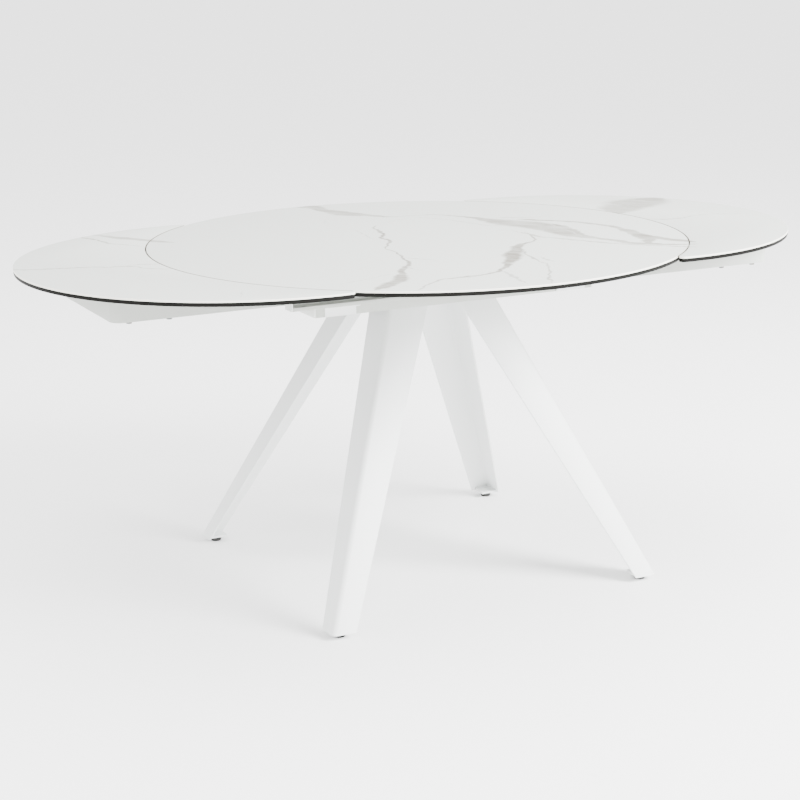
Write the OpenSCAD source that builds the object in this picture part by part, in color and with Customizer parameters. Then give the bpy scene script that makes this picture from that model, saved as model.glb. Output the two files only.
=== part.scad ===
// Round dining table that extends at both ends.
// A centre disc stands on a lift screw; a crescent leaf on a pull-out tray closes each end.
// A central crank with two rods moves both trays and turns the lift screw.
// Origin: on the floor under the centre of the disc. +X points to the right-hand leaf, +Z is up.

/* [Top] */
// Diameter of the centre disc
disc_d = 1200; // [1000:10:1440]
// Overall length with both leaves out
open_l = 1800; // [1500:10:2160]
// Radius of a leaf's outer arc
leaf_arc_r = 485; // [440:5:560]
// Height of the top above the floor
table_h = 750; // [620:5:900]
// Thickness of the ceramic face
ceramic_t = 4; // [3:0.5:6]
// Thickness of the glass under it
glass_t = 8; // [5:0.5:10]
// How far the glass edge stands back from the ceramic edge
glass_inset = 0.8; // [0:0.1:2]
// Gap between the disc and a leaf
seam_gap = 2; // [1:0.5:4]
// Radius of a leaf's rounded tips
tip_r = 10; // [4:0.5:16]

/* [Legs] */
// Outer corner of a foot, along the length
foot_x = 399; // [320:1:480]
// Outer corner of a foot, across the table
foot_y = 383; // [310:1:460]
// Outer corner of a leg's top, along the length
leg_top_x = 127; // [110:1:128]
// Outer corner of a leg's top, across the table
leg_top_y = 121; // [100:1:124]
// Flange width of a leg at the foot
leg_foot_w = 54; // [44:1:66]
// Flange width of a leg at the top
leg_top_w = 95; // [80:1:114]
// Sheet thickness of a leg
leg_t = 5; // [4:0.5:8]
// Height of a glide
glide_h = 12; // [8:1:20]
// Diameter of a glide
glide_d = 26; // [20:1:32]

/* [Under frame] */
// Thickness of the mounting plate on the legs
plate_t = 8; // [6:1:10]
// Half length of the mounting plate
plate_x = 130; // [129:1:156]
// Half width of the mounting plate
plate_y = 120; // [115:1:140]
// Half length of a beam
beam_x = 340; // [280:5:400]
// Width of a beam
beam_w = 75; // [60:1:90]
// Height of a beam
beam_h = 22; // [20:1:24]
// Distance of a bearer from the centre
bearer_x = 281; // [240:1:300]
// Width of a bearer
bearer_w = 72; // [50:1:78]
// Thickness of a bearer
bearer_t = 6; // [5:0.5:7]
// Width of a guide rail
rail_w = 33; // [30:1:39]
// Height of a guide rail
rail_h = 42; // [38:1:44]
// How far a rail runs past the open position of a tray's pin
rail_over = 62; // [56:1:74]
// Wall of the tubes and rails
wall = 3; // [2:0.5:3.5]
// Thickness of a plastic end cap
cap_t = 4; // [3:0.5:5]

/* [Trays] */
// Depth of a tray's bars
bar_h = 63; // [60:1:66]
// Width of a tray's bars
bar_w = 30; // [25:1:32]
// Gap from a rail to the bar inside it
slide_gap = 28; // [24:1:32]
// Gap from a rail to the bar outside it
outer_gap = 4; // [3:0.5:6]
// Depth of the slim inner end of a bar
tongue_bar_h = 33; // [31:1:34]
// How far a leaf's tip runs past its tray
leaf_overhang = 132; // [110:1:158]
// Thickness of a tray's end plate
end_t = 3; // [2:0.5:4]
// Thickness of the pads under a leaf
pad_t = 3; // [2:0.5:4]
// Shank diameter of a leaf bolt
bolt_d = 6; // [5:0.5:8]

/* [Crank and lift] */
// Angle that the crank stands short of dead centre when open
lock_angle = 20; // [17:1:24]
// Distance of a tray's pin from the centre when closed
closed_pin_r = 48; // [44:1:56]
// Thickness of the crank
crank_t = 8; // [7:0.5:8]
// Thickness of a rod
rod_t = 6; // [5:0.5:6]
// Radius of the crank's ends
knee_r = 14; // [12:0.5:16]
// Diameter of the pivot pins
pin_d = 10; // [8:0.5:12]
// Diameter of the centre spindle
spindle_d = 16; // [13:0.5:18]
// Outer radius of the lift screw's core
screw_r = 15; // [14:0.5:16]
// Height of the screw's ribs
rib_h = 5; // [4:0.5:6]
// Angle that a rib covers
rib_angle = 30; // [25:1:36]
// Outer radius of the lift nut
nut_r = 30; // [26:1:31]
// Height that the disc clears a leaf by when the leaf starts to pass under it
lift_clear = 0.55; // [0.4:0.05:1]
// Diameter of a guide pin
guide_d = 10; // [8:0.5:12]

/* [Hidden] */
// Clearances
pin_clear = 0.1;     // round a running pin, on the radius
slide_clear = 1;     // round a sliding block
screw_clear = 0.5;   // round the lift screw
deck_gap = 2;        // between layers that pass over each other

// Heights, from the top down
slab_t = ceramic_t + glass_t;
under_z = table_h - slab_t;
bar_top = under_z - pad_t;
bar_z = bar_top - bar_h;
rail_z = bar_z - deck_gap;
rail_top = rail_z + rail_h;
bearer_z = rail_z - bearer_t;
beam_z = bearer_z - beam_h;
washer_t = 2;
crank_z = rail_z + 6;
rod_z = crank_z + crank_t + deck_gap;
bracket_t = 6;
bracket_z = rod_z + rod_t + deck_gap;
tongue_z = bar_top - tongue_bar_h;
cross_z = rail_top + 4;
cross_h = bar_top - deck_gap - cross_z;
spider_t = 6;
spider_z = under_z - spider_t;

// Motion: isosceles crank and rod, so a pin's distance is 2 * crank_r * cos(angle from dead centre)
disc_r = disc_d / 2;
travel = open_l / 2 - disc_r;
open_pin_r = travel + closed_pin_r;
crank_r = open_pin_r / (2 * cos(lock_angle));
closed_angle = acos(closed_pin_r / (2 * crank_r));
crank_turn = lock_angle + closed_angle;
overshoot = 2 * crank_r - open_pin_r;
meet_turn = lock_angle + acos(cos(lock_angle) - seam_gap / (2 * crank_r));
lift_total = (slab_t + lift_clear) * crank_turn / meet_turn;
lift_per_turn = lift_total * 360 / crank_turn;

// Places across the table
rail_y = crank_r + knee_r + 6;
rail_web = 5;
rail_lip = 8;
inner_bar_y = rail_y - slide_gap - bar_w;
outer_bar_y = rail_y + rail_w + outer_gap;
outer_bar_w = 27;
bearer_y = rail_y + 14;
tab_t = 3;

// Places along the table
rail_x = open_pin_r + rail_over;
tray_end = open_l / 2 - min(leaf_overhang, 0.44 * travel);
deep_bar_x = open_pin_r + 20;
slim_bar_x = travel - 55;
cross_x = open_pin_r + 25;
cross_w = 30;
bolt_x = [for (k = [0.268, 0.774]) disc_r + k * (tray_end - disc_r)];
leaf_centre = open_l / 2 - leaf_arc_r;

// Small parts
foot_plate_t = 5;
foot_plate_w = leg_foot_w - leg_t - 8;
eye_r = 11;
post_l = 50;
post_w = 24;
post_pad_t = 2;
collar_t = 1.5;
bolt_head_r = 7;
bolt_head_h = 5;
leg_bolt_d = 8;
hub_r = 26;
runner_l = 50;
screw_slices = 16;
rib_count = 3;
guide_angle = 120;
sleeve_wall = 5;
guide_r = min(0.6 * crank_r, (plate_y - guide_d / 2 - sleeve_wall - 2) / sin(guide_angle));
guide_reach = 76;
arm_w = 50;
spider_reach = min(212, norm([slim_bar_x, inner_bar_y]) - 4);
arm_l = sqrt(pow(spider_reach, 2) - pow(arm_w / 2, 2));
head_size = 62;
head_t = 6;
head_bolt_inset = [22, 46];

// Colours
coat = "#f1f1ee";
marble = "#ecebe8";
glass_edge = "#2a2927";
zinc = "#b9bcbe";
black = "#222222";
nylon = "#e4e4e0";
bronze = "#a9834f";

$fn = 96;

// Box from a low corner to a high corner
module block(low, high) {
    translate(low) cube(high - low);
}

// Half turn about the upright axis: the right-hand half is the left-hand half turned round
module half_turn() {
    rotate([0, 0, 180]) children();
}

// Children at every corner of a rectangle, mirrored into place
module four_corners() {
    for (mx = [0, 1], my = [0, 1])
        mirror([mx, 0, 0]) mirror([0, my, 0]) children();
}

// Points on an arc from one angle to another
function arc(centre, r, from, to, n) =
    [for (i = [0:n]) let (a = from + (to - from) * i / n) centre + r * [cos(a), sin(a)]];

// ---------- legs ----------

// Corner points of the angle section at one height; the outer corner is at (x, y)
function angle_section(x, y, w, z) = [
    [x, y, z], [x - w, y, z], [x - w, y - leg_t, z],
    [x - leg_t, y - leg_t, z], [x - leg_t, y - w, z], [x, y - w, z]
];

// One tapered, leaning angle-iron leg, drawn in the +X +Y corner
module leg_shape() {
    points = concat(
        angle_section(foot_x, foot_y, leg_foot_w, glide_h),
        angle_section(leg_top_x, leg_top_y, leg_top_w, beam_z)
    );
    sides = [for (i = [0:5]) [i, i + 6, (i + 1) % 6 + 6, (i + 1) % 6]];
    // Both end faces start at the outer corner, which sees the whole face
    polyhedron(points, concat([[0, 1, 2, 3, 4, 5], [6, 11, 10, 9, 8, 7]], sides));
}

module leg(mx, my) {
    color(coat) mirror([mx, 0, 0]) mirror([0, my, 0]) leg_shape();
}

// Inner corner of a leg's section at height z
function lean(z) = (z - glide_h) / (beam_z - glide_h);
function inner_x(z) = foot_x + (leg_top_x - foot_x) * lean(z) - leg_t;
function inner_y(z) = foot_y + (leg_top_y - foot_y) * lean(z) - leg_t;

module foot_plates() {
    top = glide_h + foot_plate_t;
    color(coat) four_corners()
        block([inner_x(top) - foot_plate_w, inner_y(top) - foot_plate_w, glide_h],
              [inner_x(top), inner_y(top), top]);
}

module glides() {
    at = [inner_x(glide_h) - foot_plate_w / 2 - 2, inner_y(glide_h) - foot_plate_w / 2 - 2, 0];
    color(black) four_corners() translate(at) {
        cylinder(h = 3, d1 = glide_d - 3, d2 = glide_d);
        translate([0, 0, 3]) cylinder(h = glide_h - 3, d = glide_d);
    }
}

// Plate welded in the top of each leg
module leg_heads() {
    x = inner_x(beam_z - head_t);
    y = inner_y(beam_z - head_t);
    color(coat) four_corners() difference() {
        intersection() {
            block([x - head_size, y - head_size, beam_z - head_t], [x, y, beam_z]);
            block([0, 0, 0], [inner_x(beam_z), inner_y(beam_z), beam_z]);
        }
        for (p = head_bolts()) translate([p[0], p[1], beam_z - head_t - 1])
            cylinder(h = head_t + 2, d = leg_bolt_d + 0.8);
    }
}

// Centres of the two bolts that hold a leg up to the mounting plate
function head_bolts() = [
    [leg_top_x - leg_t - head_bolt_inset[0], leg_top_y - leg_t - head_bolt_inset[1]],
    [leg_top_x - leg_t - head_bolt_inset[1], leg_top_y - leg_t - head_bolt_inset[0]]
];

module leg_bolts() {
    color(zinc) four_corners() for (p = head_bolts())
        translate([p[0], p[1], beam_z - head_t - bolt_head_h]) {
            cylinder(h = bolt_head_h, r = bolt_head_r, $fn = 6);
            cylinder(h = bolt_head_h + head_t + plate_t, d = leg_bolt_d);
        }
}

// ---------- fixed frame ----------

module mounting_plate() {
    color(coat) difference() {
        block([-plate_x, -plate_y, beam_z], [plate_x, plate_y, beam_z + plate_t]);
        for (a = [0, 180]) rotate([0, 0, a + guide_angle])
            translate([guide_r, 0, beam_z - 1])
                cylinder(h = plate_t + 2, d = guide_d + 4 * pin_clear + 2);
        translate([0, 0, beam_z - 1]) cylinder(h = plate_t + 2, d = spindle_d);
        four_corners() for (p = head_bolts()) translate([p[0], p[1], beam_z - 1])
            cylinder(h = plate_t + 2, d = leg_bolt_d);
    }
}

// Flat rectangular tube along X, beside the mounting plate
module beam(side) {
    low = side > 0 ? plate_y : -plate_y - beam_w;
    end = beam_x - cap_t;
    color(coat) difference() {
        block([-end, low, beam_z], [end, low + beam_w, beam_z + beam_h]);
        block([-end - 1, low + wall, beam_z + wall],
              [end + 1, low + beam_w - wall, beam_z + beam_h - wall]);
    }
}

module beam_caps() {
    color(nylon) four_corners()
        block([beam_x - cap_t, plate_y, beam_z], [beam_x, plate_y + beam_w, beam_z + beam_h]);
}

// Flat bar that carries both rails, with a tab down each beam's outer face
module bearer(side) {
    low_x = side * bearer_x - bearer_w / 2;
    high_x = low_x + bearer_w;
    outside = plate_y + beam_w;
    color(coat) {
        block([low_x, -bearer_y, bearer_z], [high_x, bearer_y, rail_z]);
        for (m = [0, 1]) mirror([0, m, 0])
            block([low_x, outside, beam_z], [high_x, outside + tab_t, bearer_z]);
    }
}

// H-shaped rail: a groove along each side for a tray's runners
module rail(side) {
    end = rail_x - cap_t;
    low = side > 0 ? rail_y : -rail_y - rail_w;
    groove = (rail_w - rail_web) / 2;
    color(coat) difference() {
        block([-end, low, rail_z], [end, low + rail_w, rail_top]);
        block([-end - 1, low - 1, rail_z + rail_lip], [end + 1, low + groove, rail_top - rail_lip]);
        block([-end - 1, low + rail_w - groove, rail_z + rail_lip],
              [end + 1, low + rail_w + 1, rail_top - rail_lip]);
    }
}

module rail_caps() {
    color(nylon) four_corners()
        block([rail_x - cap_t, rail_y, rail_z], [rail_x, rail_y + rail_w, rail_top]);
}

// Posts at the middle of the rails that the disc comes down on
module rest_posts() {
    color(coat) for (s = [-1, 1])
        translate([-post_l / 2, s * (rail_y + rail_w / 2) - post_w / 2, rail_top])
            cube([post_l, post_w, under_z - post_pad_t - rail_top]);
}

module rest_pads() {
    color(black) for (s = [-1, 1])
        translate([-post_l / 2, s * (rail_y + rail_w / 2) - post_w / 2, under_z - post_pad_t])
            cube([post_l, post_w, post_pad_t]);
}

module spindle() {
    color(zinc) {
        translate([0, 0, beam_z - bolt_head_h]) cylinder(h = bolt_head_h, r = spindle_d);
        translate([0, 0, beam_z]) cylinder(h = crank_z + crank_t - beam_z - 1, d = spindle_d);
    }
}

module thrust_washer() {
    color(bronze) translate([0, 0, beam_z + plate_t]) difference() {
        cylinder(h = washer_t, r = hub_r);
        translate([0, 0, -1]) cylinder(h = washer_t + 2, r = spindle_d / 2 + pin_clear);
    }
}

// Tubes that stop the disc from turning
module guide_sleeves() {
    z = beam_z + plate_t;
    color(zinc) for (a = [0, 180]) rotate([0, 0, a + guide_angle]) translate([guide_r, 0, z])
        difference() {
            cylinder(h = bracket_z + bracket_t - z, r = guide_d / 2 + sleeve_wall);
            translate([0, 0, -1])
                cylinder(h = bracket_z + bracket_t - z + 2, r = guide_d / 2 + pin_clear);
        }
}

// ---------- crank, rods and lift ----------

// Places of the crank's left end and of the left tray's pin when the table is open
knee_left = [-crank_r * cos(lock_angle), crank_r * sin(lock_angle)];
pin_left = [-open_pin_r, 0];

module crank() {
    color(zinc) difference() {
        union() {
            translate([0, 0, beam_z + plate_t + washer_t])
                cylinder(h = crank_z + crank_t - beam_z - plate_t - washer_t, r = hub_r);
            rotate([0, 0, -lock_angle]) {
                block([-crank_r, -knee_r, crank_z], [crank_r, knee_r, crank_z + crank_t]);
                for (s = [-1, 1]) translate([s * crank_r, 0, crank_z])
                    cylinder(h = crank_t, r = knee_r);
            }
        }
        translate([0, 0, beam_z]) cylinder(h = crank_z + crank_t - beam_z + 1,
                                           r = spindle_d / 2 + pin_clear);
        rotate([0, 0, -lock_angle]) for (s = [-1, 1])
            translate([s * crank_r, 0, crank_z - 1]) cylinder(h = crank_t + 2, d = pin_d);
    }
}

// Cross-section of the screw, grown by a clearance: a round core with ribs
module screw_section(grow) {
    core = screw_r + grow;
    half = rib_angle / 2 + grow * 180 / (PI * screw_r);
    pitch = 360 / rib_count;
    polygon([for (i = [0:rib_count - 1]) each concat(
        arc([0, 0], core + rib_h, i * pitch - half, i * pitch + half, 3),
        arc([0, 0], core, i * pitch + half, (i + 1) * pitch - half, 6)
    )]);
}

// Screw with steep ribs that lift the nut by lift_per_turn for each turn of the crank. The crank
// turns anticlockwise seen from above and the nut doesn't turn, so the ribs are left-handed.
module screw_body(low, high, grow) {
    translate([0, 0, low]) rotate([0, 0, -360 * (low - under_z) / lift_per_turn])
        linear_extrude(height = high - low, twist = 360 * (high - low) / lift_per_turn,
                       slices = screw_slices)
            screw_section(grow);
}

module lift_screw() {
    color(zinc) screw_body(crank_z + crank_t, spider_z - 1, 0);
}

module lift_nut() {
    low = crank_z + crank_t + 3;
    color(bronze) difference() {
        translate([0, 0, low]) cylinder(h = spider_z - low, r = nut_r);
        screw_body(low - 1, spider_z + 1, screw_clear);
    }
}

module knee_pins() {
    color(zinc) rotate([0, 0, -lock_angle]) for (s = [-1, 1])
        translate([s * crank_r, 0, crank_z]) {
            cylinder(h = rod_z + rod_t + collar_t - crank_z, d = pin_d);
            translate([0, 0, crank_t]) cylinder(h = collar_t, d = pin_d + 8);
            translate([0, 0, rod_z + rod_t + 0.5 - crank_z]) cylinder(h = collar_t, d = pin_d + 6);
        }
}

// Rod between the crank's left end and the left tray's pin
module rod_shape() {
    reach = pin_left - knee_left;
    color(zinc) translate([knee_left[0], knee_left[1], rod_z])
        rotate([0, 0, atan2(reach[1], reach[0])]) difference() {
            union() {
                block([0, -eye_r, 0], [crank_r, eye_r, rod_t]);
                for (x = [0, crank_r]) translate([x, 0, 0]) cylinder(h = rod_t, r = eye_r);
            }
            for (x = [0, crank_r]) translate([x, 0, -1])
                cylinder(h = rod_t + 2, r = pin_d / 2 + pin_clear);
        }
}

// ---------- leaves and trays, drawn on the left ----------

// Centre of the rounding at the rear tip, which touches both arcs
function tip_centre() = let (
    a = disc_r + seam_gap + tip_r,
    b = leaf_arc_r - tip_r,
    x = (b * b - a * a - leaf_centre * leaf_centre) / (2 * leaf_centre)
) [x, sqrt(a * a - x * x)];

// Crescent between the outer arc and the disc's edge, stood back by inset all round. One outline
// of arcs that meet end to end: the outer arc, the lower tip, the disc's arc and the upper tip.
module crescent(inset) {
    tip = tip_centre();
    a = atan2(tip.y, tip.x + leaf_centre);
    b = atan2(tip.y, tip.x);
    outer = arc([-leaf_centre, 0], leaf_arc_r - inset, a, 360 - a, 126);
    low_tip = arc([tip.x, -tip.y], tip_r - inset, -a, 180 - b, 10);
    inner = arc([0, 0], disc_r + seam_gap + inset, 360 - b, b, 70);
    high_tip = arc(tip, tip_r - inset, b - 180, a, 10);
    polygon(concat(outer, [for (i = [1:10]) low_tip[i]], [for (i = [1:70]) inner[i]],
        [for (i = [1:9]) high_tip[i]]));
}

module leaf_ceramic() {
    color(marble) translate([0, 0, under_z + glass_t]) linear_extrude(ceramic_t) crescent(0);
}

module leaf_glass() {
    color(glass_edge) translate([0, 0, under_z]) linear_extrude(glass_t) crescent(glass_inset);
}

// Tube along X, deep under the leaf and slim where it passes over the crank
module bar_shape(low_y, w) {
    holes = [for (x = bolt_x) [-x, low_y + w / 2]];
    color(coat) difference() {
        union() {
            block([-tray_end + end_t, low_y, bar_z], [-deep_bar_x, low_y + w, bar_top]);
            block([-deep_bar_x, low_y, tongue_z], [-slim_bar_x, low_y + w, bar_top]);
        }
        block([-tray_end, low_y + wall, bar_z + wall],
              [-deep_bar_x - wall, low_y + w - wall, bar_top - wall]);
        block([-deep_bar_x - wall - 1, low_y + wall, tongue_z + wall],
              [-slim_bar_x + 1, low_y + w - wall, bar_top - wall]);
        for (p = holes) translate([p[0], p[1], bar_z - 1])
            cylinder(h = bar_h + 2, r = bolt_d / 2 + 4 * pin_clear);
    }
}

module inner_bar() {
    bar_shape(-inner_bar_y - bar_w, bar_w);
}

module outer_bar() {
    bar_shape(outer_bar_y, outer_bar_w);
}

module end_plate() {
    color(coat) block([-tray_end, -inner_bar_y - bar_w, bar_z],
                      [-tray_end + end_t, outer_bar_y + outer_bar_w, bar_top]);
}

// Ties the two bars together over the rear rail
module cross_member() {
    color(coat) difference() {
        block([-cross_x - cross_w, -inner_bar_y, cross_z], [-cross_x, outer_bar_y, cross_z + cross_h]);
        block([-cross_x - cross_w + wall, -inner_bar_y - 1, cross_z + wall],
              [-cross_x - wall, outer_bar_y + 1, cross_z + cross_h + 1]);
    }
}

// Arm under the cross member that takes the rod's pin
module pin_bracket() {
    arm_r = 14;
    color(zinc) difference() {
        union() {
            block([-cross_x - cross_w, -arm_r, bracket_z], [-open_pin_r, arm_r, bracket_z + bracket_t]);
            translate([-open_pin_r, 0, bracket_z]) cylinder(h = bracket_t, r = arm_r);
            block([-cross_x - cross_w, -arm_r, bracket_z + bracket_t], [-cross_x, arm_r, cross_z]);
        }
        translate([-open_pin_r, 0, bracket_z - 1]) cylinder(h = bracket_t + 2, d = pin_d);
    }
}

module rod_pin() {
    color(zinc) translate([-open_pin_r, 0, 0]) {
        translate([0, 0, rod_z - 1]) cylinder(h = bracket_z + bracket_t - rod_z + 1, d = pin_d);
        translate([0, 0, rod_z - 0.5 - collar_t]) cylinder(h = collar_t, d = pin_d + 6);
        translate([0, 0, rod_z + rod_t + 0.5]) cylinder(h = collar_t, d = pin_d + 8);
    }
}

// One L-shaped runner: a block in a rail's groove, a neck over the crank's ends and an
// upstand against the bar. Drawn with the bar at y = 0 and the groove's floor at y = reach.
module runner(reach, gap) {
    low = rail_z + rail_lip + slide_clear;
    high = rail_top - rail_lip - slide_clear;
    neck = rod_z + rod_t + 0.5 + collar_t + deck_gap;
    block([0, gap + 1, low], [runner_l, reach - slide_clear, high]);
    block([0, 0, neck], [runner_l, gap + 2, high]);
    block([0, 0, neck], [runner_l, 2.5, cross_z - 1]);
}

// The inner bar's runners slide in the front rail, the outer bar's in the rear rail
module runners() {
    groove = (rail_w - rail_web) / 2;
    starts = [-rail_x + cap_t + overshoot + 3, -slim_bar_x - runner_l];
    color(nylon) for (x = starts) {
        translate([x, -inner_bar_y - bar_w, 0]) mirror([0, 1, 0]) runner(slide_gap + groove, slide_gap);
        translate([x, outer_bar_y, 0]) mirror([0, 1, 0]) runner(outer_gap + groove, outer_gap);
    }
}

module leaf_pads() {
    color(black) for (x = bolt_x, y = [-inner_bar_y - bar_w / 2, outer_bar_y + outer_bar_w / 2])
        translate([-x, y, bar_top]) difference() {
            cylinder(h = pad_t, r = 12);
            translate([0, 0, -1]) cylinder(h = pad_t + 2, r = bolt_d / 2 + 4 * pin_clear);
        }
}

module leaf_bolts() {
    color(zinc) for (x = bolt_x, y = [-inner_bar_y - bar_w / 2, outer_bar_y + outer_bar_w / 2])
        translate([-x, y, bar_z - bolt_head_h]) {
            cylinder(h = bolt_head_h, r = bolt_head_r);
            cylinder(h = under_z - bar_z + bolt_head_h, d = bolt_d);
        }
}

// ---------- centre disc ----------

module disc_ceramic() {
    color(marble) translate([0, 0, under_z + glass_t]) cylinder(h = ceramic_t, r = disc_r, $fn = 240);
}

module disc_glass() {
    color(glass_edge) translate([0, 0, under_z])
        cylinder(h = glass_t, r = disc_r - glass_inset, $fn = 240);
}

// Cross of flat bars bonded under the disc
module top_spider() {
    color(coat) translate([0, 0, spider_z]) rotate([0, 0, guide_angle]) {
        cylinder(h = spider_t, r = min(90, 0.6 * spider_reach));
        for (a = [0, 90]) rotate([0, 0, a])
            block([-arm_l, -arm_w / 2, 0], [arm_l, arm_w / 2, spider_t]);
    }
}

module guide_pins() {
    color(zinc) for (a = [0, 180]) rotate([0, 0, a + guide_angle])
        translate([guide_r, 0, spider_z - guide_reach]) cylinder(h = guide_reach, d = guide_d);
}

leg(1, 1);  // leg_front_left
leg(0, 1);  // leg_front_right
leg(1, 0);  // leg_rear_left
leg(0, 0);  // leg_rear_right
foot_plates();
glides();
leg_heads();
leg_bolts();
mounting_plate();
beam(-1);  // beam_front
beam(1);  // beam_rear
beam_caps();
bearer(-1);  // bearer_left
bearer(1);  // bearer_right
rail(-1);  // rail_front
rail(1);  // rail_rear
rail_caps();
rest_posts();
rest_pads();
spindle();
thrust_washer();
guide_sleeves();
crank();
lift_screw();
knee_pins();
rod_shape();  // rod_left
half_turn() rod_shape();  // rod_right
leaf_ceramic();  // leaf_left_ceramic
leaf_glass();  // leaf_left_glass
inner_bar();  // inner_bar_left
outer_bar();  // outer_bar_left
end_plate();  // end_plate_left
cross_member();  // cross_member_left
pin_bracket();  // pin_bracket_left
rod_pin();  // rod_pin_left
runners();  // runners_left
leaf_pads();  // leaf_pads_left
leaf_bolts();  // leaf_bolts_left
half_turn() leaf_ceramic();  // leaf_right_ceramic
half_turn() leaf_glass();  // leaf_right_glass
half_turn() inner_bar();  // inner_bar_right
half_turn() outer_bar();  // outer_bar_right
half_turn() end_plate();  // end_plate_right
half_turn() cross_member();  // cross_member_right
half_turn() pin_bracket();  // pin_bracket_right
half_turn() rod_pin();  // rod_pin_right
half_turn() runners();  // runners_right
half_turn() leaf_pads();  // leaf_pads_right
half_turn() leaf_bolts();  // leaf_bolts_right
disc_ceramic();
disc_glass();
top_spider();
lift_nut();
guide_pins();
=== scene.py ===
"""Looks for an extendable dining table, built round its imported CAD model."""

import math

import bmesh
import bpy
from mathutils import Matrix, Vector


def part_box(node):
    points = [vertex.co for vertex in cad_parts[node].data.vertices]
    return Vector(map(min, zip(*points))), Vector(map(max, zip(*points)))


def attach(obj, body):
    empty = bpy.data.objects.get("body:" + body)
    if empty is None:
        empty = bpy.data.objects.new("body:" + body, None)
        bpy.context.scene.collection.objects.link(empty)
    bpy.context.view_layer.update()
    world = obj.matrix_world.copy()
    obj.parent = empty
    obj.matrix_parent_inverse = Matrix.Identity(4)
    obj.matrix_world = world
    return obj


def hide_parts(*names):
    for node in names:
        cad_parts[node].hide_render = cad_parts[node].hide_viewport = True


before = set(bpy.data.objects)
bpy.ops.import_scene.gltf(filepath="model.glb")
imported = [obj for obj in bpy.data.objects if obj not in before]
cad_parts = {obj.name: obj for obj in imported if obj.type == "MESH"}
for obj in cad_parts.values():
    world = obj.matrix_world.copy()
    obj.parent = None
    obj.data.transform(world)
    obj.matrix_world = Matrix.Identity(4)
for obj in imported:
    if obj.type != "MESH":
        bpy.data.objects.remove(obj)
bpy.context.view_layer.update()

bl_info = {
    "name": "Extendable ceramic dining table",
    "version": (1, 0, 0),
    "blender": (4, 5, 0),
    "location": "View3D > Sidebar > Table",
    "description": "Builds the slabs, folded legs, trays, fixings and finishes of an extendable table",
    "category": "Object",
}

MM = 0.001
# The left-hand side is drawn, and the right-hand one is the same, turned half round
SIDES = (("left", 1), ("right", -1))
CORNERS = ((-1, -1), (-1, 1), (1, -1), (1, 1))

# Gap between the disc's edge and a leaf's inner edge
SEAM_GAP = 2 * MM
# Thickness of a leg's folded plate
LEG_PLATE = 5 * MM


# ---------------------------------------------------------------- colours and nodes


def linear(hex_colour):
    """An sRGB hex colour as linear red, green, blue and alpha."""
    out = []
    for i in (1, 3, 5):
        c = int(hex_colour[i : i + 2], 16) / 255
        out.append(c / 12.92 if c <= 0.04045 else ((c + 0.055) / 1.055) ** 2.4)
    return (*out, 1.0)


def add(tree, kind, inputs=None, **settings):
    """Adds a shader node; inputs maps a socket's name or number to a value or to an output socket."""
    made = tree.nodes.new("ShaderNode" + kind)
    for key, value in settings.items():
        setattr(made, key, value)
    for key, value in (inputs or {}).items():
        if isinstance(value, bpy.types.NodeSocket):
            tree.links.new(value, made.inputs[key])
        else:
            made.inputs[key].default_value = value
    return made


def start(name, base, roughness, **sockets):
    """A new material with one Principled shader; returns the material, its tree and the shader."""
    material = bpy.data.materials.new(name)
    material.use_nodes = True
    tree = material.node_tree
    shader = tree.nodes["Principled BSDF"]
    shader.inputs["Base Color"].default_value = base
    shader.inputs["Roughness"].default_value = roughness
    for key, value in sockets.items():
        shader.inputs[key.replace("_", " ")].default_value = value
    return material, tree, shader


def grain(tree, shader, size, depth, detail=2.0):
    """Bump of a noise whose grains are size metres across and depth metres deep; returns the noise."""
    where = add(tree, "TexCoord").outputs["Object"]
    noise = add(tree, "TexNoise", {"Vector": where, "Scale": 1 / size, "Detail": detail, "Roughness": 0.55})
    bump = add(tree, "Bump", {"Height": noise.outputs[0], "Distance": depth, "Strength": 1.0})
    tree.links.new(bump.outputs[0], shader.inputs["Normal"])
    return noise.outputs[0]


def vary(tree, shader, socket, mask, low, high):
    """Drives a shader's socket from low to high by a mask between 0 and 1."""
    ranged = add(tree, "MapRange", {"Value": mask, "To Min": low, "To Max": high})
    tree.links.new(ranged.outputs[0], shader.inputs[socket])


def tint(tree, shader, mask, one, other):
    """Mixes two colours into the base colour by a mask."""
    ranged = add(tree, "MapRange", {"Value": mask, "From Min": 0.3, "From Max": 0.7})
    mixed = add(tree, "Mix", {0: ranged.outputs[0], 6: one, 7: other}, data_type="RGBA")
    tree.links.new(mixed.outputs[2], shader.inputs["Base Color"])


# ---------------------------------------------------------------- marble veins

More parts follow.
